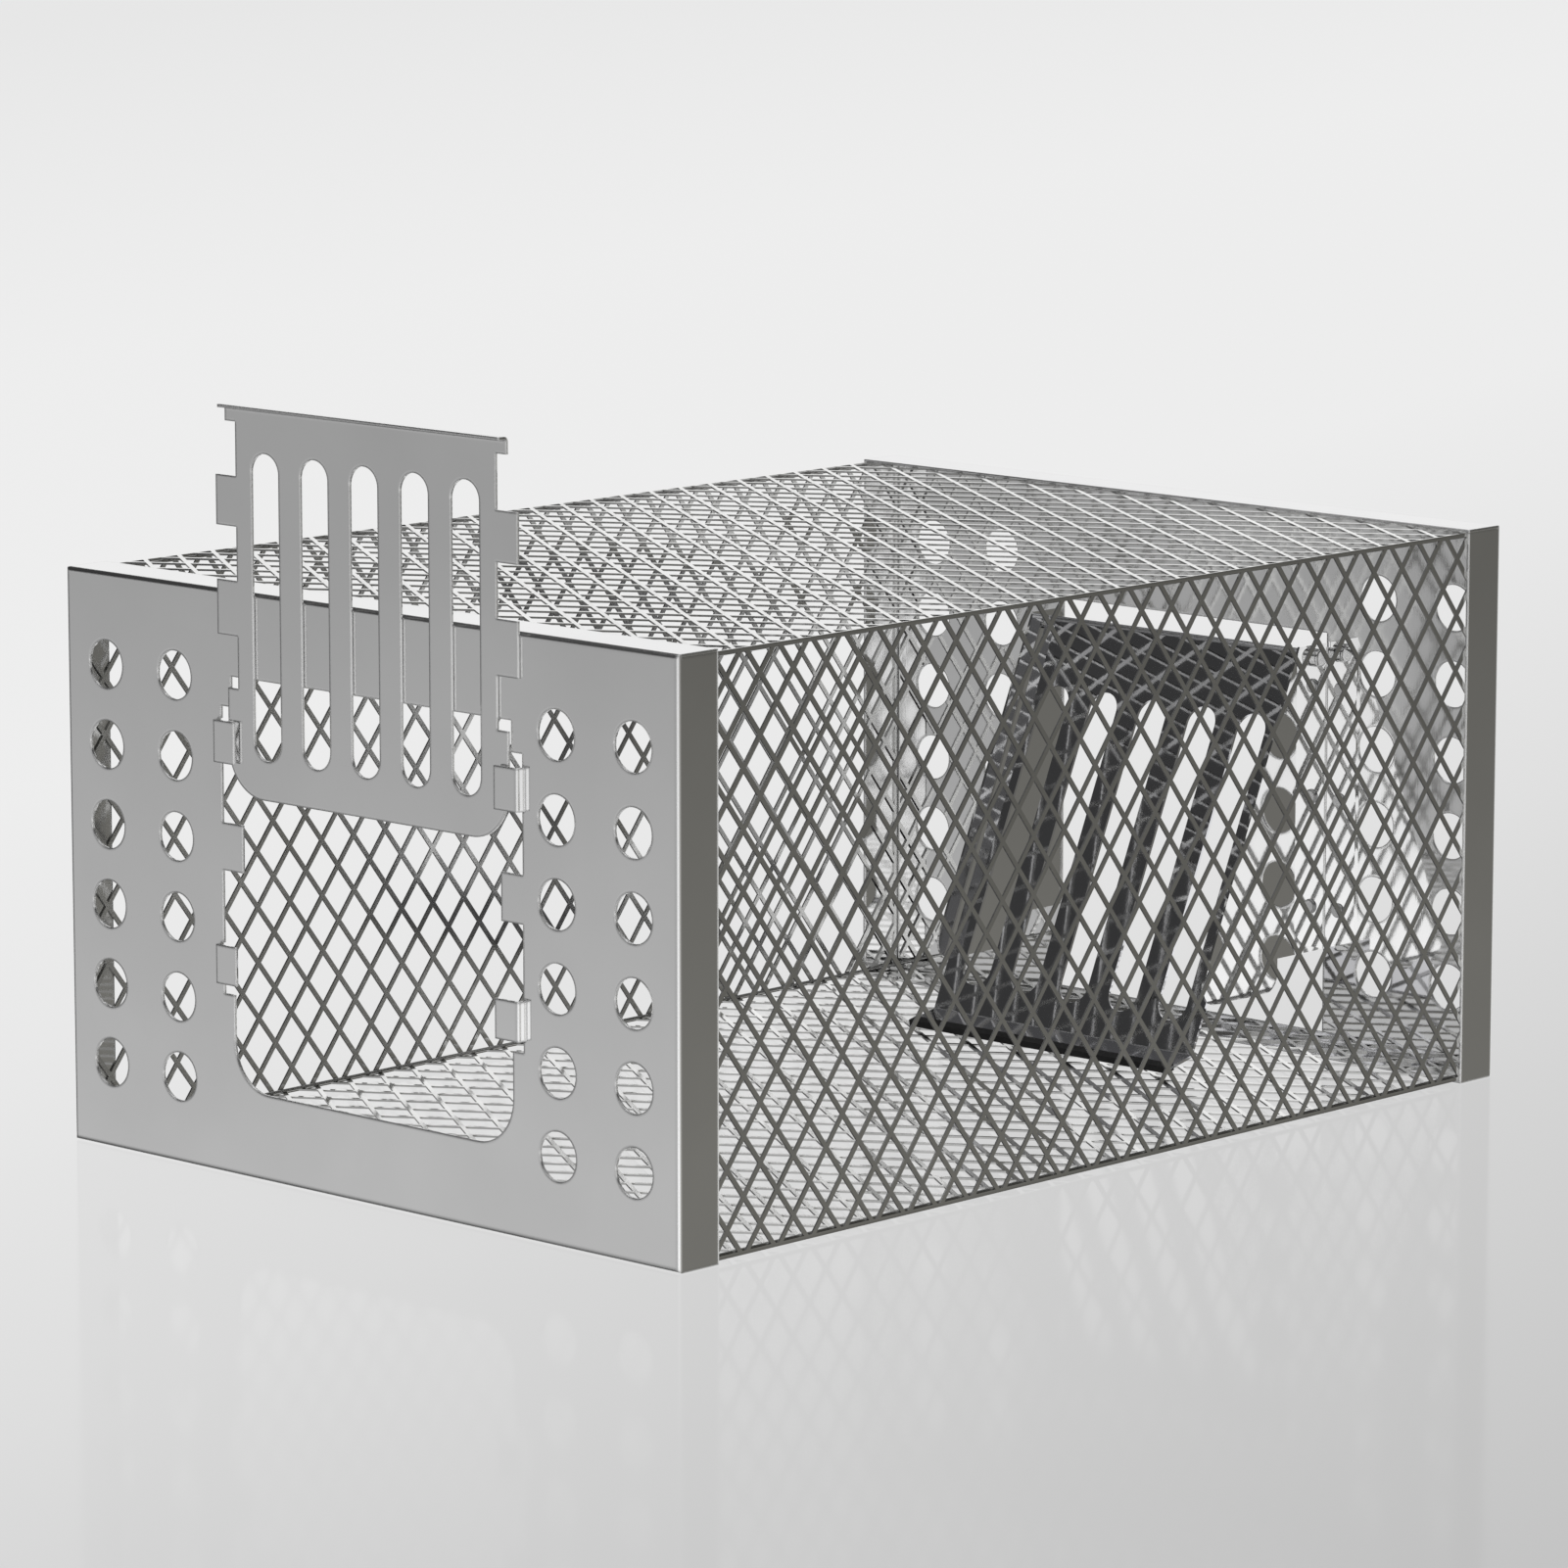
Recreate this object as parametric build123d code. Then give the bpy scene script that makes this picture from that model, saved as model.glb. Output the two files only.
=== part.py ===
from build123d import *
import os
from math import cos, hypot, radians, sin, tan

# Small wire-mesh animal cage: two folded sheet end panels joined by flat diamond
# mesh on four sides, a guillotine gate on the front and a leaning one-way flap
# hung between two cheeks at the rear doorway.
# Millimetres. X = across the gate, -Y = front (gate) end, +Z = up.
# Origin: centre of the footprint, on the resting plane.

# ---- overall sizes
cage_width = 350.0
cage_depth = 504.0
cage_height = 240.0
sheet = 1.2
bend = 2.0                 # outer bend radius of the folded sheet
flange = 22.0              # flange depth of both end panels
slit = 0.25                # open corner between neighbouring flanges
clear = 0.3                # air between pieces that do not touch

# ---- doorway axis, right of the cage's middle
door_offset = 4.6

# ---- vents
vent_dia = 20.0
vent_side = 24.0               # outer column in from the panel's side
vent_step = 41.6               # between the two columns
vent_first = 36.0
vent_pitch = 33.2
vent_rows = 6

# ---- front doorway: half width over each height band
door_bottom = 35.6
door_top = 205.0
door_half = 80.3
neck_half = 74.3
notch_half = 86.3
low_notch = (74.4, 125.3)
high_notch = (144.8, 192.5)
door_corner = 20.0
small_corner = 1.0

# ---- guide lugs folded out of the front panel
lug_bands = ((79.3, 95.3), (170.0, 187.3))
lug_tip_half = 74.6
lug_root = 3.7                 # flat root beyond the notch
lug_weld = 1.0                 # root's overlap with the panel
slide_play = 1.4               # between the gate and the strap's inner face
lug_bend = 1.2                 # bend radius on the sheet's middle

# ---- gate, drawn raised
gate_lift = 121.0
gate_seat = 0.4                # closed gate's foot above the doorway's sill
foot_play = 0.3                # gate's foot to the doorway's side
waist_play = 0.6               # gate's waist to the strap's tip
tab_play = 0.5                 # gate's tabs to the notch and lug
gate_foot = 43.7               # height of the wide foot
gate_tabs = ((65.0, 87.3), (109.3, 129.6))
horn_high = 6.9
gate_corner = 20.0
gate_lip_reach = 5.5
slot_width = 16.0
slot_count = 5
gate_slot_side = 9.0           # outer slot to the gate's waist
gate_slot_foot = 16.0
gate_slot_top = 18.5

# ---- mesh
strand = 2.0
mesh_thick = 0.8
mesh_border = 0.8
cells_up = 10
cells_along = 27
roof_cell_x = 27.7
rod_dia = 1.5
end_gap = 1.0                  # mesh end to the panel's sheet, clears the inside bend

# ---- rear doorway and cheeks
rear_door_bottom = 6.5
rear_door_over = 5.3           # doorway's head above the flap's top edge
cheek_half = 76.5              # inner face of each cheek, level with the doorway's side
cheek_bottom = 29.5
cheek_over = 1.3               # cheek's top above the flap's top edge
cheek_front_gap = 9.0          # cheek's front edge ahead of the flap's front face
cheek_step_len = 32.8          # how far the raised rear part of the bottom edge runs forward
cheek_flange = 18.0
cheek_flange_foot = 44.0
cheek_flange_drop = 2.0        # flange's top below the cheek's top
cheek_corner = 8.0
rivet_shank_dia = 3.2
rivet_head_dia = 6.5
rivet_head_high = 1.2
rivet_play = 0.03              # radial, shank in its holes
rivet_inset = 9.0              # rivet row from the flange's free edge
rivet_count = 3
rivet_end = 18.0               # first rivet from the flange's end

# ---- flap
flap_lean = 24.0               # degrees from upright, top to the rear
flap_play = 1.5                # flap's side to the cheek
flap_top_back = 12.8           # front face at the top edge, ahead of the rear panel's rear face
flap_top = 178.7
heel_rise = 6.8                # lip's bend above the floor grille
flap_slot_side = 10.0          # outer slot to the flap's side
flap_slot_head = 32.5
flap_slot_heel = 13.3
lip_length = 16.1
lip_droop = 12.6               # degrees below level
strip_wrap = 0.9
strip_depth = 4.0
hinge_rod_dia = 4.0
running = 0.05                 # radial running clearance on the hinge rod
cap_dia = 8.0
cap_length = 4.0
cap_overlap = 2.8
cut = 20.0                     # over-length of cutting tools

# ---- derived places
front = (gate_lip_reach - cage_depth - rivet_head_high) / 2
rear = front + cage_depth
left = -cage_width / 2
door_x = door_offset
lug_reach = clear + sheet + slide_play + sheet
gate_closed = door_bottom + gate_seat
gate_bottom = gate_closed + gate_lift
gate_half = door_half - foot_play
gate_waist_half = lug_tip_half - waist_play
gate_tab_half = notch_half - tab_play
gate_horn = lug_bands[1][1] + clear - gate_closed
gate_height = gate_horn + horn_high
cheek_top = flap_top + cheek_over
cheek_flange_band = (cheek_flange_foot, cheek_top - cheek_flange_drop)
flap_half = cheek_half - flap_play
lean = radians(flap_lean)
flap_length = (flap_top - sheet - mesh_thick - heel_rise) / cos(lean)
mesh_front = front + sheet + end_gap
mesh_rear = rear - sheet - end_gap
mesh_run = mesh_rear - mesh_front
cell_y = cage_depth / cells_along
cell_z = cage_height / cells_up


def box(x0, x1, y0, y1, z0, z1):
    """Block between two corners."""
    mid = Pos((x0 + x1) / 2, (y0 + y1) / 2, (z0 + z1) / 2)
    return mid * Box(x1 - x0, y1 - y0, z1 - z0)


def band(half, z0, z1):
    """Rectangle on the XZ plane, centred on the doorway axis."""
    return Pos(door_x, (z0 + z1) / 2) * Rectangle(2 * half, z1 - z0)


def upright(face, y_front, depth):
    """Solid from a face drawn in X and Z, running rearward from y_front."""
    place = Plane(origin=(0, y_front, 0), x_dir=(1, 0, 0), z_dir=(0, -1, 0))
    return extrude(place * face, -depth)


def lengthwise(face, x0, x1):
    """Solid from a face drawn in Y and Z, running from x0 to x1."""
    place = Plane(origin=(x0, 0, 0), x_dir=(0, 1, 0), z_dir=(1, 0, 0))
    return extrude(place * face, x1 - x0)


def save(shape, node):
    export_step(shape, "parts/" + node + ".step")


def single(shape):
    """The one solid of a finished piece."""
    solids = shape.solids()
    return solids[0] if len(solids) == 1 else Compound(children=list(solids))


# Folded tray: a sheet panel with a flange on all four sides, corners left slit.
def tray():
    high = cage_height
    outer = box(left, -left, 0, flange, 0, high)
    outer = fillet(outer.faces().sort_by(Axis.Y)[0].edges(), bend)
    inner = box(left + sheet, -left - sheet, sheet, flange + cut, sheet, high - sheet)
    inner = fillet(inner.faces().sort_by(Axis.Y)[0].edges(), bend - sheet)
    shell = outer - inner
    for side in (-1, 1):
        edge = side * cage_width / 2
        inside = edge - side * sheet
        x0, x1 = sorted((edge + side, inside))
        top = box(x0, x1, bend, flange + cut, high - sheet - slit, high - sheet)
        x0, x1 = sorted((inside, inside - side * slit))
        low = box(x0, x1, bend, flange + cut, -sheet, sheet)
        shell = shell - top - low
    return shell


def vents():
    drill = Sketch()
    outer = cage_width / 2 - vent_side
    for col in (outer, outer - vent_step):
        for side in (-1, 1):
            for row in range(vent_rows):
                spot = Pos(side * col, vent_first + row * vent_pitch)
                drill += spot * Circle(vent_dia / 2)
    return drill


def corner_ids(face, z, tol=0.01):
    return [v for v in face.vertices() if abs(v.Y - z) < tol]


def doorway():
    """Outline of the front doorway with its guide notches."""
    foot = band(door_half, door_bottom, low_notch[0] + small_corner)
    foot = fillet(corner_ids(foot, door_bottom), door_corner)
    shape = foot + band(neck_half, door_bottom + door_corner, door_top)
    shape += band(notch_half, *low_notch)
    shape += band(notch_half, *high_notch)
    shape += band(door_half, high_notch[1] - small_corner, door_top)
    for low, high in lug_bands:
        shape += band(notch_half + lug_root, low, high)
    return shape


def lug(side, low, high):
    """Strap folded forward out of the panel, then in towards the gate."""
    leg = notch_half + sheet / 2
    mid = sheet / 2
    out = sheet / 2 - lug_reach
    path = FilletPolyline(
        (side * (notch_half + lug_root + lug_weld), mid),
        (side * leg, mid),
        (side * leg, out),
        (side * lug_tip_half, out),
        radius=lug_bend,
    )
    strip = trace(path, line_width=sheet)
    return Pos(door_x, front, low) * extrude(strip, high - low)


def front_panel():
    panel = Pos(0, front, 0) * tray()
    holes = vents() + doorway()
    panel = panel - upright(holes, front - cut, cut + sheet + bend)
    for low, high in lug_bands:
        for side in (-1, 1):
            panel = panel + lug(side, low, high)
    return single(panel)


# Rear panel: the same tray turned round, with the rear doorway and rivet holes.
def rivet_spots():
    first = cheek_flange_band[0] + rivet_end
    span = cheek_flange_band[1] - cheek_flange_band[0] - 2 * rivet_end
    return [first + span * i / (rivet_count - 1) for i in range(rivet_count)]


def rivet_x(side):
    return door_x + side * (cheek_half + cheek_flange - rivet_inset)


def rear_panel():
    panel = Pos(0, rear, 0) * (Rot(0, 0, 180) * tray())
    holes = vents() + band(cheek_half, rear_door_bottom, flap_top + rear_door_over)
    for side in (-1, 1):
        for z in rivet_spots():
            holes += Pos(rivet_x(side), z) * Circle(rivet_shank_dia / 2)
    panel = panel - upright(holes, rear - sheet - bend, cut)
    return single(panel)


# Diamond mesh: flat crossing strands, drawn as a plate with diamond windows.
def clip(points, keep, limit, axis):
    """Cut a convex outline back to one side of a line across the given axis."""
    done = []
    for here, there in zip(points, points[1:] + points[:1]):
        a = keep * (here[axis] - limit)
        b = keep * (there[axis] - limit)
        if a <= 0:
            done.append(here)
        if a * b < 0:
            t = a / (a - b)
            done.append(tuple(p + (q - p) * t for p, q in zip(here, there)))
    return done


def area(points):
    pairs = zip(points, points[1:] + points[:1])
    return abs(sum(p[0] * q[1] - q[0] * p[1] for p, q in pairs)) / 2


def window(cu, cv, cell_u, cell_v, limits):
    """One diamond window, narrowed by the strand and kept inside the border."""
    reach = cell_u * cell_v / 4 / hypot(cell_u / 2, cell_v / 2)
    shrink = (reach - strand / 2) / reach
    du, dv = shrink * cell_u / 2, shrink * cell_v / 2
    points = [(cu + du, cv), (cu, cv + dv), (cu - du, cv), (cu, cv - dv)]
    for axis in (0, 1):
        points = clip(points, 1, limits[axis][1], axis)
        points = clip(points, -1, limits[axis][0], axis)
    return points


def mesh_face(u_span, v_span, u_cell, v_cell, u_node, v_node):
    """Plate with windows; a strand crossing sits at (u_node, v_node)."""
    limits = [(s[0] + mesh_border, s[1] - mesh_border) for s in (u_span, v_span)]
    wires = []
    u_steps = range(int((u_span[0] - u_node) // u_cell) - 1, int((u_span[1] - u_node) // u_cell) + 2)
    v_steps = range(int((v_span[0] - v_node) // v_cell) - 1, int((v_span[1] - v_node) // v_cell) + 2)
    for i in u_steps:
        for j in v_steps:
            for shift_u, shift_v in ((0.5, 0.0), (0.0, 0.5)):
                cu = u_node + (i + shift_u) * u_cell
                cv = v_node + (j + shift_v) * v_cell
                points = window(cu, cv, u_cell, v_cell, limits)
                if len(points) > 2 and area(points) > strand:
                    wires.append(Wire.make_polygon([Vector(*p) for p in points], close=True))
    corners = [(u_span[i], v_span[j]) for i, j in ((0, 0), (1, 0), (1, 1), (0, 1))]
    rim = Wire.make_polygon([Vector(*p) for p in corners], close=True)
    return Face(rim, wires)


def level_mesh(z0):
    """Roof or floor grille."""
    half = cage_width / 2 - sheet
    face = mesh_face((-half, half), (mesh_front, mesh_rear), roof_cell_x, cell_y, 0.0, front)
    return single(extrude(Pos(0, 0, z0) * face, mesh_thick, dir=(0, 0, 1)))


def side_mesh(x0):
    """Left or right grille, standing between the floor and roof grilles."""
    low = sheet + mesh_thick
    face = mesh_face((mesh_front, mesh_rear), (low, cage_height - low), cell_y, cell_z, front, 0.0)
    return single(lengthwise(face, x0, x0 + mesh_thick))


# Long corner wires lying in the angle between neighbouring grilles.
def edge_rod(side, high):
    inset = sheet + mesh_thick + rod_dia / 2
    z = cage_height - inset if high else inset
    rod = Cylinder(rod_dia / 2, mesh_run, rotation=(90, 0, 0))
    return Pos(side * (cage_width / 2 - inset), (mesh_front + mesh_rear) / 2, z) * rod


# Gate: one flat sheet with slots and side tabs, its top edge turned forward.
def slot_row(half, margin, low, high):
    """Row of upright round-ended slots in a sheet of that half width, centred on x = 0."""
    face = Sketch()
    reach = half - margin - slot_width / 2
    for i in range(slot_count):
        x = reach * (2 * i / (slot_count - 1) - 1)
        face += Pos(x, (low + high) / 2) * (Rot(0, 0, 90) * SlotOverall(high - low, slot_width))
    return face


def gate():
    up = gate_bottom
    foot = band(gate_half, up, up + gate_foot)
    foot = fillet(corner_ids(foot, up), gate_corner)
    face = foot + band(gate_waist_half, up + gate_corner, up + gate_horn + bend)
    for low, high in gate_tabs:
        face += band(gate_tab_half, up + low, up + high)
    row = slot_row(gate_waist_half, gate_slot_side, gate_slot_foot, gate_height - gate_slot_top)
    face -= Pos(door_x, up) * row
    y = front - clear - sheet
    plate = upright(face, y, sheet)
    mid = y + sheet / 2
    crown = up + gate_height - sheet / 2
    path = FilletPolyline(
        (mid, up + gate_horn),
        (mid, crown),
        (front - gate_lip_reach, crown),
        radius=bend - sheet / 2,
    )
    lip = lengthwise(trace(path, line_width=sheet), door_x - gate_half, door_x + gate_half)
    return single(plate + lip)


# Flap frame: u runs down the slope from the top edge, v runs rearward and down
# from the front face.
def on_flap(u, v):
    y = rear - flap_top_back - u * sin(lean) + v * cos(lean)
    z = flap_top - u * cos(lean) - v * sin(lean)
    return (y, z)


def hinge_radius():
    return hinge_rod_dia / 2 + running + sheet


def hinge_centre():
    return on_flap(hinge_radius(), hinge_radius())


def lip_point(along, over):
    """Point on the bottom lip: along from the bend, over its upper face."""
    heel = on_flap(flap_length, 0)
    droop = radians(lip_droop)
    y = heel[0] - along * cos(droop) - over * sin(droop)
    z = heel[1] - along * sin(droop) + over * cos(droop)
    return (y, z)


def flap():
    mid = sheet / 2
    lip_mid = [lip_point(a, -mid) for a in (0, lip_length)]
    sheet_mid = [on_flap(u, mid) for u in (hinge_radius(), flap_length)]
    corner = meet(sheet_mid, lip_mid)
    path = FilletPolyline(sheet_mid[0], corner, lip_mid[1], radius=bend - mid)
    plate = lengthwise(trace(path, line_width=sheet), door_x - flap_half, door_x + flap_half)
    plate = plate - flap_slots()
    return single(plate + knuckle())


def meet(a, b):
    """Crossing point of two lines given by two points each."""
    ax, ay = a[1][0] - a[0][0], a[1][1] - a[0][1]
    bx, by = b[1][0] - b[0][0], b[1][1] - b[0][1]
    t = ((b[0][0] - a[0][0]) * by - (b[0][1] - a[0][1]) * bx) / (ax * by - ay * bx)
    return (a[0][0] + t * ax, a[0][1] + t * ay)


def flap_plane():
    """Plane on the flap's front face, origin at the top edge, local Y up the slope."""
    y, z = on_flap(0, 0)
    return Plane(origin=(door_x, y, z), x_dir=(1, 0, 0), z_dir=(0, -cos(lean), sin(lean)))


def flap_slots():
    row = slot_row(flap_half, flap_slot_side, flap_slot_heel - flap_length, -flap_slot_head)
    return extrude(flap_plane() * row, sheet * 2, both=True)


def knuckle():
    """Top edge of the flap curled round the hinge rod."""
    ring = Circle(hinge_radius()) - Circle(hinge_radius() - sheet)
    reach = hinge_radius() + sheet
    ring -= Pos(-reach / 2, -reach / 2) * Rectangle(reach, reach)
    turned = Rot(0, 0, -flap_lean) * ring
    return lengthwise(Pos(*hinge_centre()) * turned, door_x - flap_half, door_x + flap_half)


# Dark edging pushed over the lip's front edge.
def flap_strip():
    back = lip_length - strip_depth
    nose = lip_length + strip_wrap
    top = strip_wrap
    low = -sheet - strip_wrap
    outer = [lip_point(*p) for p in ((back, low), (nose, low), (nose, top), (back, top))]
    slot_end = back - strip_wrap
    gap = ((slot_end, -sheet), (lip_length, -sheet), (lip_length, 0), (slot_end, 0))
    inner = [lip_point(*p) for p in gap]
    face = make_face(Polyline(*outer, close=True)) - make_face(Polyline(*inner, close=True))
    return single(lengthwise(face, door_x - flap_half, door_x + flap_half))


# Cheeks: upright side sheets, flanged outward at the rear and riveted on.
def cheek_front(z):
    y = on_flap(0, 0)[0] - (flap_top - z) * tan(lean)
    return y - cheek_front_gap


def cheek(side):
    wall = rear - sheet
    step = cheek_flange_band[0]
    points = [
        (wall - sheet, step),
        (wall - cheek_step_len, step),
        (wall - cheek_step_len, cheek_bottom),
        (cheek_front(cheek_bottom), cheek_bottom),
        (cheek_front(cheek_top), cheek_top),
        (wall - sheet, cheek_top),
    ]
    face = make_face(Polyline(*points, close=True))
    round_off = [v for v in face.vertices() if v.X < wall - cheek_step_len + 1]
    face = fillet([v for v in round_off if v.Y != step], cheek_corner)
    x0, x1 = sorted((door_x + side * cheek_half, door_x + side * (cheek_half + sheet)))
    plate = lengthwise(face, x0, x1)
    plate = plate - hinge_bore(x0 - cut, x1 + cut, hinge_rod_dia / 2 + running)
    return single(plate + cheek_foot(side))


def hinge_bore(x0, x1, radius):
    y, z = hinge_centre()
    return Pos((x0 + x1) / 2, y, z) * Cylinder(radius, x1 - x0, rotation=(0, 90, 0))


def cheek_foot(side):
    """Flange lying against the rear panel, with its bend."""
    low, high = cheek_flange_band
    wall = rear - sheet - sheet / 2
    in_x = door_x + side * (cheek_half + sheet / 2)
    out_x = door_x + side * (cheek_half + cheek_flange)
    path = FilletPolyline(
        (in_x, wall - bend * 2),
        (in_x, wall),
        (out_x, wall),
        radius=bend - sheet / 2,
    )
    foot = Pos(0, 0, low) * extrude(trace(path, line_width=sheet), high - low)
    ends = foot.edges().filter_by(Axis.Y)
    ends = [e for e in ends if abs(e.center().X - out_x) < sheet / 2]
    foot = fillet(ends, cheek_corner)
    for z in rivet_spots():
        hole = Cylinder(rivet_shank_dia / 2, cut, rotation=(90, 0, 0))
        foot = foot - Pos(rivet_x(side), wall, z) * hole
    return foot


def rivets(side):
    """Row of domed rivets through the cheek's flange and the rear panel."""
    inner = rear - 2 * sheet
    pins = []
    for z in rivet_spots():
        spot = Pos(rivet_x(side), 0, z)
        shank = Pos(0, (inner + rear) / 2, 0) * Cylinder(
            rivet_shank_dia / 2 - rivet_play, rear - inner + sheet, rotation=(90, 0, 0))
        pin = shank
        for face_y, way in ((inner, -1), (rear, 1)):
            head = Cylinder(rivet_head_dia / 2, rivet_head_high, rotation=(90, 0, 0))
            head = Pos(0, face_y + way * rivet_head_high / 2, 0) * head
            rim = head.edges().filter_by(GeomType.CIRCLE).sort_by(Axis.Y)
            rim = rim[0] if way < 0 else rim[-1]
            pin = pin + fillet(rim, rivet_head_high * 0.8)
        pins.append(spot * single(pin))
    return Compound(children=pins)


def rod_half():
    return cheek_half + sheet + clear + cap_overlap


def hinge_rod():
    return hinge_bore(door_x - rod_half(), door_x + rod_half(), hinge_rod_dia / 2)


def retainer(side):
    """Push-on cap closing one end of the hinge rod."""
    near = cheek_half + sheet + clear
    x0, x1 = sorted((door_x + side * near, door_x + side * (near + cap_length)))
    cap = hinge_bore(x0, x1, cap_dia / 2)
    rim = cap.edges().filter_by(GeomType.CIRCLE).sort_by(Axis.X)
    cap = fillet(rim[-1] if side > 0 else rim[0], sheet)
    x0, x1 = sorted((door_x + side * (near - cut), door_x + side * rod_half()))
    return single(cap - hinge_bore(x0, x1, hinge_rod_dia / 2 + running / 2))


def main():
    os.makedirs("parts", exist_ok=True)
    save(front_panel(), "front_panel")
    save(rear_panel(), "rear_panel")
    save(level_mesh(cage_height - sheet - mesh_thick), "roof_mesh")
    save(level_mesh(sheet), "floor_mesh")
    save(side_mesh(left + sheet), "left_mesh")
    save(side_mesh(-left - sheet - mesh_thick), "right_mesh")
    save(gate(), "gate")
    save(flap(), "flap")
    save(flap_strip(), "flap_edge_strip")
    save(hinge_rod(), "flap_hinge_rod")
    for side, name in ((-1, "left"), (1, "right")):
        save(edge_rod(side, True), "edge_rod_roof_" + name)
        save(edge_rod(side, False), "edge_rod_floor_" + name)
        save(cheek(side), name + "_cheek")
        save(rivets(side), "cheek_rivets_" + name)
        save(retainer(side), "rod_retainer_" + name)


main()
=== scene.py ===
import math
import bpy
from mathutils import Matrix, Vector

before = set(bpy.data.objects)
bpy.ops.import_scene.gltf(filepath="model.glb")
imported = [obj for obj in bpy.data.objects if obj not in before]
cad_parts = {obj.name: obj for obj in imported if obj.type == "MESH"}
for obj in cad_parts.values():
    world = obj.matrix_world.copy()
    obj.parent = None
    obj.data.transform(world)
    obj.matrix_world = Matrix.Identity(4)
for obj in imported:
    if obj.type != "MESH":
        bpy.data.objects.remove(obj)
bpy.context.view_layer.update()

# Front panel: one sheet of bright polished steel, 1.2 mm thick, with the doorway, the guide lugs
# and two columns of vents either side punched in the flat. Its four edges are folded back as
# flanges, and the grilles are spot welded inside them. Punched edges are a little round.
panel_tone = (0.9, 0.9, 0.9)
panel_rough = 0.035
panel_grain = (1, 1, 0.03)      # drawn out along the panel's height
sheet_relief = 0.004
sheet_rim = 0.0016              # radius that the light sees on a cut edge
rim_samples = 6
noise_middle = (0.3, 0.7)       # most of a noise's values lie between these
cloud_scale = 14                # broad clouds in the tone
cloud_detail = 4
patch_scale = 45                # smaller patches in the gloss
patch_detail = 3
patch_swing = (0.7, 1.4)        # least and most roughness, as a share of the finish's own
grain_scale = 900               # fine marks left by rolling or drawing
grain_detail = 2
grain_height = 0.0004


def noise(nodes, links, where, scale, detail, stretch=(1, 1, 1)):
    """Noise read in the object's own coordinates, so it stays put as the piece moves."""
    mapping = nodes.new("ShaderNodeMapping")
    mapping.inputs["Scale"].default_value = stretch
    links.new(where, mapping.inputs["Vector"])
    tex = nodes.new("ShaderNodeTexNoise")
    tex.inputs["Scale"].default_value = scale
    tex.inputs["Detail"].default_value = detail
    links.new(mapping.outputs["Vector"], tex.inputs["Vector"])
    return tex.outputs["Fac"]


def spread(nodes, links, value, low, high):
    """Maps the middle of a noise onto low to high."""
    step = nodes.new("ShaderNodeMapRange")
    step.inputs["From Min"].default_value = noise_middle[0]
    step.inputs["From Max"].default_value = noise_middle[1]
    step.inputs["To Min"].default_value = low
    step.inputs["To Max"].default_value = high
    links.new(value, step.inputs["Value"])
    return step.outputs["Result"]


def finish(name, tone, rough, metallic=1.0, grain=(1, 1, 1), shade=0.03, relief=0.01, rim=0.0):
    """Cloudy tone, patchy gloss and a fine grain. A rim makes sharp edges catch light as round ones."""
    mat = bpy.data.materials.new(name)
    mat.use_nodes = True
    nodes = mat.node_tree.nodes
    links = mat.node_tree.links
    skin = nodes["Principled BSDF"]
    skin.inputs["Metallic"].default_value = metallic
    where = nodes.new("ShaderNodeTexCoord").outputs["Object"]
    clouds = nodes.new("ShaderNodeValToRGB")
    dark, light = clouds.color_ramp.elements
    dark.position, light.position = noise_middle
    dark.color = [c * (1 - shade) for c in tone] + [1]
    light.color = [min(1, c * (1 + shade)) for c in tone] + [1]
    links.new(noise(nodes, links, where, cloud_scale, cloud_detail), clouds.inputs["Fac"])
    links.new(clouds.outputs["Color"], skin.inputs["Base Color"])
    patch = noise(nodes, links, where, patch_scale, patch_detail)
    gloss = spread(nodes, links, patch, rough * patch_swing[0], rough * patch_swing[1])
    links.new(gloss, skin.inputs["Roughness"])
    marks = nodes.new("ShaderNodeBump")
    marks.inputs["Strength"].default_value = relief
    marks.inputs["Distance"].default_value = grain_height
    rolled = noise(nodes, links, where, grain_scale, grain_detail, grain)
    links.new(rolled, marks.inputs["Height"])
    links.new(marks.outputs["Normal"], skin.inputs["Normal"])
    if rim:
        soft_edge = nodes.new("ShaderNodeBevel")
        soft_edge.samples = rim_samples
        soft_edge.inputs["Radius"].default_value = rim
        links.new(soft_edge.outputs["Normal"], marks.inputs["Normal"])
    return mat


def finish_in(mat, *names):
    """Gives CAD nodes their finish."""
    for name in names:
        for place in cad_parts[name].material_slots:
            place.link = "OBJECT"
            place.material = mat


sheet_finish = finish(
    "polished_sheet", panel_tone, panel_rough, grain=panel_grain, relief=sheet_relief, rim=sheet_rim
)
finish_in(sheet_finish, "front_panel")

# Rear panel: the same folded sheet turned round, with a plain doorway that the flap leans into.
# It is cut from the same coil as the front panel, so it has the same polish.
finish_in(sheet_finish, "rear_panel")

# Roof, floor and side grilles: flattened steel mesh, its strands crossing in diamonds, laid inside
# the panels' flanges and spot welded there. The strands are a little duller than the sheet and cloudy
# where the rolls pressed them flat. Painted shade darkens the sides of each opening, and the side
# grilles carry a darker copy of the tone as painted shade.
level_tone = (0.88, 0.88, 0.87)
# painted shade: the side grilles get a darker copy of the roof and floor grilles' tone
upright_shaded_tone = (0.7, 0.7, 0.69)  # side grilles, a shade darker
mesh_rough = 0.1
mesh_shade = 0.1
mesh_relief = 0.03
# painted shade: the openings' sides are darkened by the way they face, not by their colour
painted_side_shade = 0.7                 # the openings' sides, as a share of the strands' flat faces
side_from = 0.3                 # under this share of facing along, a surface is all side
side_to = 0.7                   # and over this one it is all flat face


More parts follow.
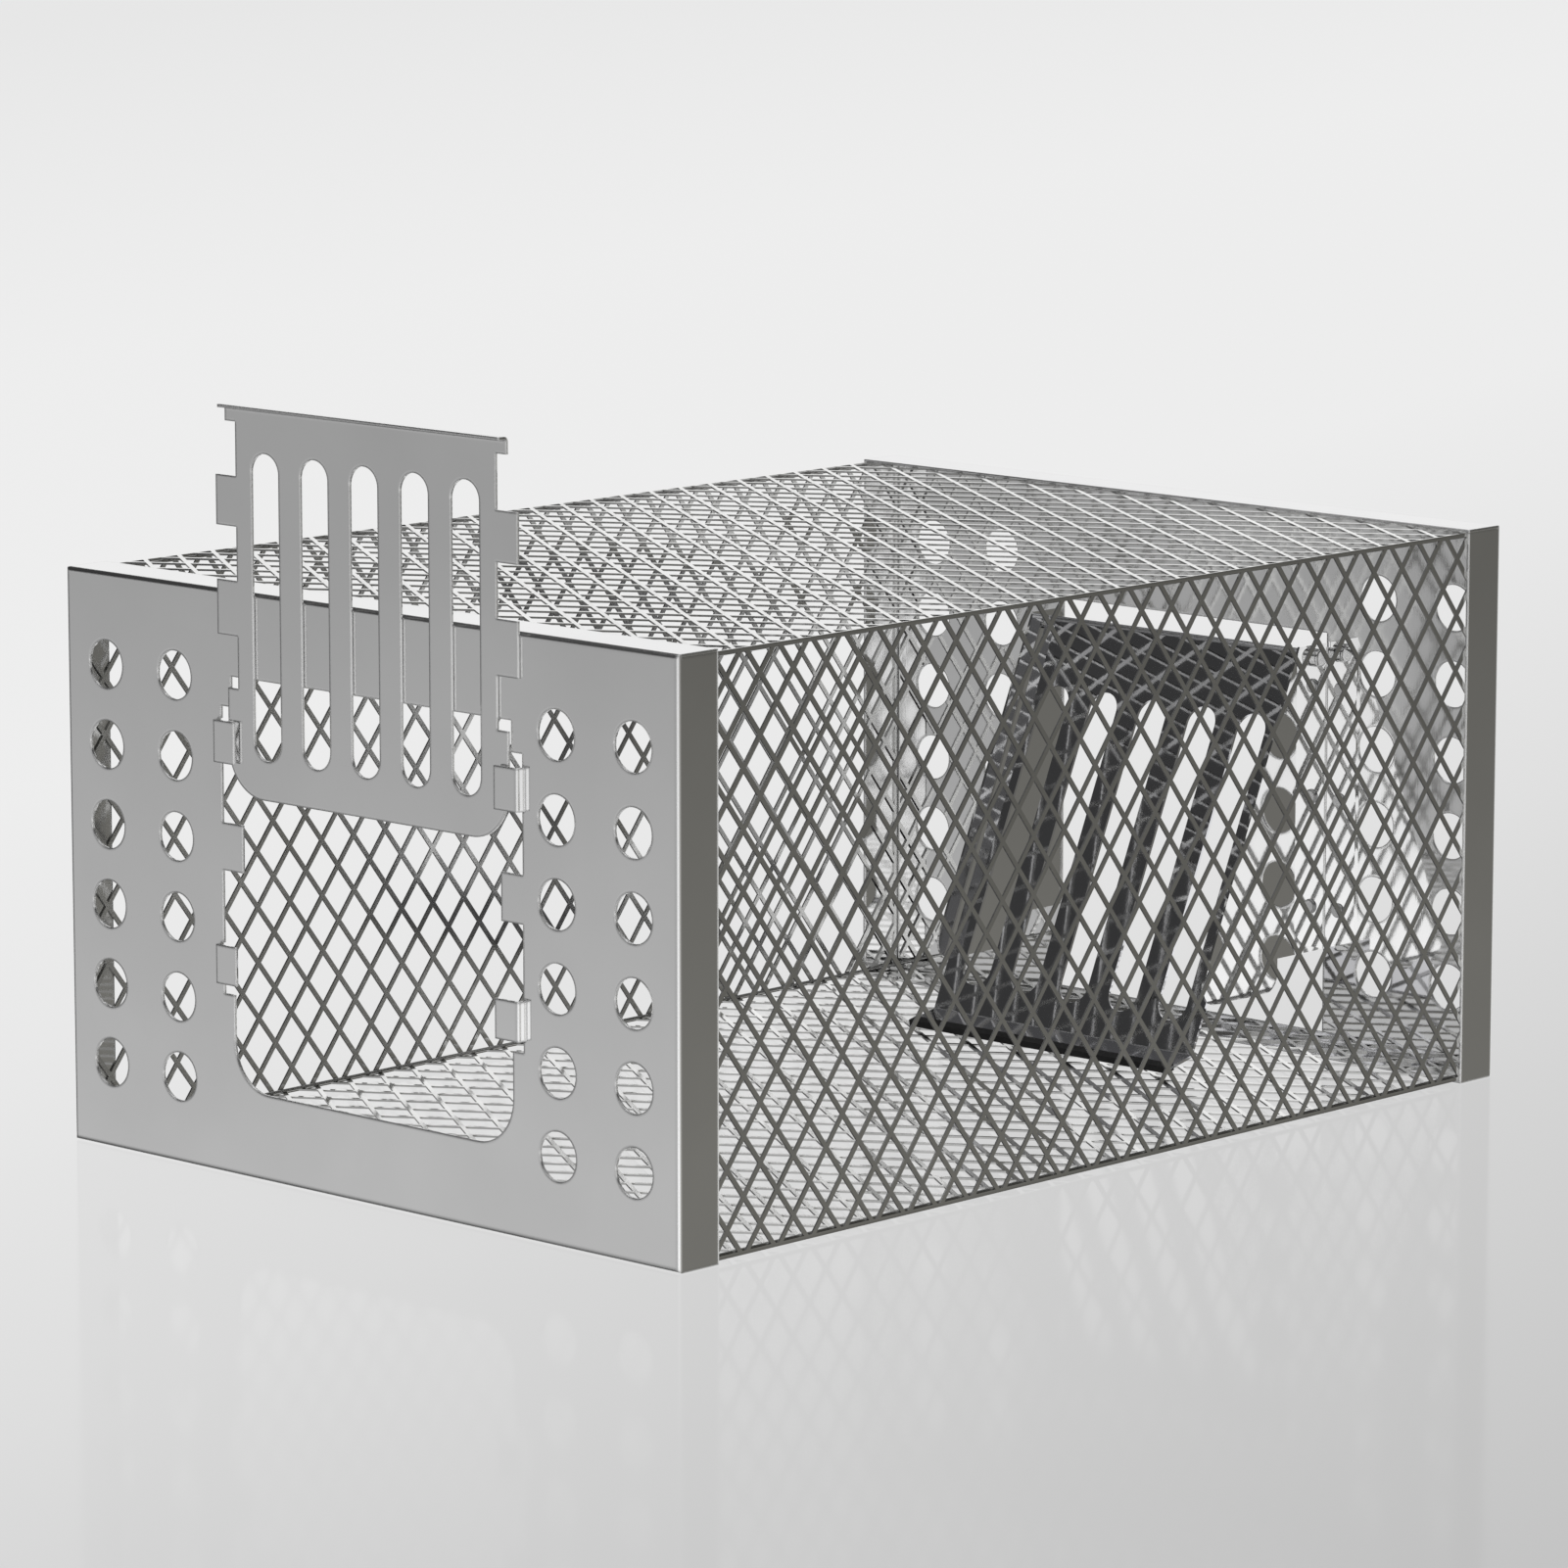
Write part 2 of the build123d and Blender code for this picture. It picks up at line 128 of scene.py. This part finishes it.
def paint_side_shade(mat, along):
    """Paints shade onto the surfaces of a flat mesh that don't face along the given axis."""
    nodes = mat.node_tree.nodes
    links = mat.node_tree.links
    base = nodes["Principled BSDF"].inputs["Base Color"]
    tone = base.links[0].from_socket
    facing = nodes.new("ShaderNodeVectorMath")
    facing.operation = "DOT_PRODUCT"
    facing.inputs[1].default_value = along
    links.new(nodes.new("ShaderNodeTexCoord").outputs["Normal"], facing.inputs[0])
    either_way = nodes.new("ShaderNodeMath")
    either_way.operation = "ABSOLUTE"
    links.new(facing.outputs["Value"], either_way.inputs[0])
    level = nodes.new("ShaderNodeMapRange")
    level.inputs["From Min"].default_value = side_from
    level.inputs["From Max"].default_value = side_to
    level.inputs["To Min"].default_value = painted_side_shade
    links.new(either_way.outputs["Value"], level.inputs["Value"])
    shaded = nodes.new("ShaderNodeVectorMath")
    shaded.operation = "SCALE"
    links.new(tone, shaded.inputs[0])
    links.new(level.outputs["Result"], shaded.inputs["Scale"])
    links.new(shaded.outputs["Vector"], base)


level_finish = finish(
    "pressed_mesh_level", level_tone, mesh_rough, shade=mesh_shade, relief=mesh_relief
)
paint_side_shade(level_finish, (0, 0, 1))
finish_in(level_finish, "roof_mesh", "floor_mesh")
upright_shaded_finish = finish(
    "pressed_mesh_upright_shaded", upright_shaded_tone, mesh_rough, shade=mesh_shade, relief=mesh_relief
)
paint_side_shade(upright_shaded_finish, (1, 0, 0))
finish_in(upright_shaded_finish, "left_mesh", "right_mesh")

# Edge wires: four thin steel wires lying in the long corners, welded to both grilles that meet
# there. Drawn wire is darker and a little duller than the mesh, with marks running along it.
wire_tone = (0.5, 0.5, 0.49)
wire_rough = 0.15
wire_grain = (1, 0.02, 1)
wire_finish = finish("drawn_wire", wire_tone, wire_rough, grain=wire_grain, shade=0.1)
for corner in ("roof_left", "roof_right", "floor_left", "floor_right"):
    finish_in(wire_finish, "edge_rod_" + corner)

# Gate: flat sheet with five slots, sliding behind the lugs' straps. Its top edge is turned
# forward as a finger lip. It has the panels' polish, with its grain a little longer.
gate_tone = (0.89, 0.89, 0.89)
gate_rough = 0.035
gate_grain = (1, 1, 0.02)
gate_finish = finish(
    "gate_sheet", gate_tone, gate_rough, grain=gate_grain, relief=sheet_relief, rim=sheet_rim
)
finish_in(gate_finish, "gate")

# Cheeks: two sheets standing beside the flap, flanged outward and riveted to the rear panel.
# They are plain sheet, polished enough inside to mirror what stands next to them.
cheek_tone = (0.93, 0.93, 0.93)
cheek_rough = 0.02
inner_grain = (1, 0.05, 1)      # drawn out along the cage's length
cheek_finish = finish(
    "cheek_sheet", cheek_tone, cheek_rough, grain=inner_grain, shade=0.02, relief=0.002
)
finish_in(cheek_finish, "left_cheek", "right_cheek")

# Cheek rivets: three aluminium rivets to a cheek, set through its flange and the rear panel, with
# a low round head on either side. They are left as they come, duller than the polished sheet.
rivet_tone = (0.6, 0.6, 0.6)
rivet_rough = 0.3
rivet_finish = finish("rivet_alloy", rivet_tone, rivet_rough, shade=0.05)
finish_in(rivet_finish, "cheek_rivets_left", "cheek_rivets_right")

# Flap: polished sheet with five slots, a shade darker and bluer than the panels. It is curled
# round its rod at the top and turned forward as a lip at the bottom, and it leans over the floor
# grille, whose mesh shows in its polish.
flap_tone = (0.8, 0.8, 0.825)
flap_rough = 0.025
flap_finish = finish(
    "dark_polished_sheet", flap_tone, flap_rough, grain=inner_grain, shade=0.06, relief=0.003
)
finish_in(flap_finish, "flap")

# Lip edging: a channel of black rubber pushed over the front edge of the flap's lip. It quietens
# the flap's fall and covers a cut edge that the animal pushes past.
edging_tone = (0.012, 0.012, 0.012)
edging_rough = 0.6
edging = finish("edging_rubber", edging_tone, edging_rough, metallic=0.0, shade=0.2, relief=0.15)
finish_in(edging, "flap_edge_strip")

# Hinge rod and its caps: a 4 mm drawn rod runs through both cheeks and the flap's curled edge.
# A steel cap pushed onto each end, outside the cheeks, keeps it from working out.
cap_tone = (0.8, 0.8, 0.8)
cap_rough = 0.12
finish_in(wire_finish, "flap_hinge_rod")
cap_finish = finish("cap_steel", cap_tone, cap_rough)
finish_in(cap_finish, "rod_retainer_left", "rod_retainer_right")

# Studio floor: a wide pale sweep that also stands as the background. It glows by itself, so the
# cage throws hardly any shadow on it. Its glow holds a painted falloff of light, darker towards
# the right, and it is faintly glossy.
floor_half = 30.0
floor_drop = 0.0003             # under the cage's feet, so the two surfaces never coincide
sweep_tone = (0.07, 0.07, 0.07, 1)
sweep_glow = 0.95
sweep_gloss = 0.09              # share of the mirror-like layer
sweep_gloss_rough = 0.08
falloff_way = (-2.141, -0.647, 0)  # the way the floor gets paler
falloff_span = (-1.2, 8.8)
# painted falloff of light: the glow's tone along that way, darkest towards the right
painted_falloff_stops = (
    (0.0, 0.57),
    (0.06, 0.665),
    (0.12, 0.76),
    (0.2, 0.84),
    (0.28, 0.885),
    (0.52, 0.893),
    (1.0, 0.835),
)


def set_stops(fade, stops):
    """Gives a colour ramp its stops: a place, then one value for a grey or three for a colour."""
    while len(fade.color_ramp.elements) < len(stops):
        fade.color_ramp.elements.new(0.5)
    for stop, (at, *tone) in zip(fade.color_ramp.elements, stops):
        stop.position = at
        stop.color = (*(tone * 3)[:3], 1)


corners = []
for x, y in ((-1, -1), (1, -1), (1, 1), (-1, 1)):
    corners.append((x * floor_half, y * floor_half, 0))
floor_data = bpy.data.meshes.new("studio_floor")
floor_data.from_pydata(corners, [], [(0, 1, 2, 3)])
studio_floor = bpy.data.objects.new("studio_floor", floor_data)
studio_floor.location.z = -floor_drop
bpy.context.scene.collection.objects.link(studio_floor)
studio_floor.visible_diffuse = False
studio_floor.visible_glossy = False
sweep = bpy.data.materials.new("pale_sweep")
sweep.use_nodes = True
nodes = sweep.node_tree.nodes
links = sweep.node_tree.links
skin = nodes["Principled BSDF"]
skin.inputs["Base Color"].default_value = sweep_tone
skin.inputs["Roughness"].default_value = 1.0
skin.inputs["Specular IOR Level"].default_value = 0.0
along = nodes.new("ShaderNodeVectorMath")
along.operation = "DOT_PRODUCT"
along.inputs[1].default_value = falloff_way
links.new(nodes.new("ShaderNodeTexCoord").outputs["Object"], along.inputs[0])
span = nodes.new("ShaderNodeMapRange")
span.inputs["From Min"].default_value = falloff_span[0]
span.inputs["From Max"].default_value = falloff_span[1]
links.new(along.outputs["Value"], span.inputs["Value"])
fade = nodes.new("ShaderNodeValToRGB")
set_stops(fade, painted_falloff_stops)
links.new(span.outputs["Result"], fade.inputs["Fac"])
links.new(fade.outputs["Color"], skin.inputs["Emission Color"])
skin.inputs["Emission Strength"].default_value = sweep_glow
gloss = nodes.new("ShaderNodeBsdfGlossy")
gloss.inputs["Roughness"].default_value = sweep_gloss_rough
blend = nodes.new("ShaderNodeMixShader")
blend.inputs["Fac"].default_value = sweep_gloss
links.new(skin.outputs["BSDF"], blend.inputs[1])
links.new(gloss.outputs["BSDF"], blend.inputs[2])
links.new(blend.outputs["Shader"], nodes["Material Output"].inputs["Surface"])
floor_data.materials.append(sweep)

# Studio light: tall soft panels all round, as for polished metal, which shows what is round it.
# White ones stand behind left and in front right, grey ones in front, dark ones at the left and
# behind right. Above them is a dark gap, then a pale ceiling with one soft light.
panel_stops = (
    (0.000, 0.12),              # left
    (0.060, 0.12),
    (0.085, 0.43),
    (0.150, 0.42),
    (0.240, 0.36),              # front
    (0.310, 0.40),
    (0.350, 0.93),
    (0.420, 0.93),
    (0.480, 0.40, 0.395, 0.38),  # right
    (0.590, 0.150, 0.147, 0.135),
    (0.670, 0.150, 0.147, 0.135),
    (0.740, 0.60, 0.60, 0.59),  # rear
    (0.800, 0.96),
    (0.910, 0.93),
    (0.935, 0.12),
)
height_stops = (
    (0.0, 0.8),                 # straight down
    (0.3, 0.8),
    (0.36, 1.2),
    (0.39, 1.2),
    (0.43, 0.86),
    (0.5, 0.86),                # level
    (0.61, 1.0),
    (0.66, 0.1),
    (0.78, 0.1),
    (0.9, 0.8),                 # ceiling
)
softbox_size = (2.0, 1.5)
softbox_watts = 6
softbox_place = (-0.4, 0.3, 2.2)
softbox_aim = (0, 0, 0.1)
surround = bpy.data.worlds.new("surround")
surround.use_nodes = True
nodes = surround.node_tree.nodes
links = surround.node_tree.links
way = nodes.new("ShaderNodeTexCoord").outputs["Generated"]
turn = nodes.new("ShaderNodeTexGradient")
turn.gradient_type = "RADIAL"
links.new(way, turn.inputs["Vector"])
panels = nodes.new("ShaderNodeValToRGB")
set_stops(panels, panel_stops)
links.new(turn.outputs["Fac"], panels.inputs["Fac"])
split = nodes.new("ShaderNodeSeparateXYZ")
links.new(way, split.inputs["Vector"])
height = nodes.new("ShaderNodeMapRange")
height.inputs["From Min"].default_value = -1.0
height.inputs["From Max"].default_value = 1.0
links.new(split.outputs["Z"], height.inputs["Value"])
rise = nodes.new("ShaderNodeValToRGB")
set_stops(rise, height_stops)
links.new(height.outputs["Result"], rise.inputs["Fac"])
links.new(panels.outputs["Color"], nodes["Background"].inputs["Color"])
links.new(rise.outputs["Color"], nodes["Background"].inputs["Strength"])
bpy.context.scene.world = surround
bpy.context.scene.view_settings.view_transform = "Standard"
overhead = bpy.data.lights.new("overhead_softbox", "AREA")
overhead.shape = "RECTANGLE"
overhead.size, overhead.size_y = softbox_size
overhead.energy = softbox_watts
softbox = bpy.data.objects.new("overhead_softbox", overhead)
softbox.location = softbox_place
down = Vector(softbox_aim) - softbox.location
softbox.rotation_euler = down.to_track_quat("-Z", "Y").to_euler()
bpy.context.scene.collection.objects.link(softbox)

# Camera: a long lens, so the cage's edges stay nearly parallel. It stands about three metres
# off the front right corner, higher than the roof, and looks a little down on it.
eye_lens = 168.94
eye_sensor = 36.0
eye_place = (2.0913, -2.21855, 0.6607)
eye_tilt = 80.29                # degrees up from straight down
eye_turn = 43.39                # degrees round from facing the rear
eye = bpy.data.cameras.new("viewpoint")
eye.lens = eye_lens
eye.sensor_width = eye_sensor
camera = bpy.data.objects.new("viewpoint", eye)
camera.location = eye_place
camera.rotation_euler = (math.radians(eye_tilt), 0, math.radians(eye_turn))
bpy.context.scene.collection.objects.link(camera)
bpy.context.scene.camera = camera
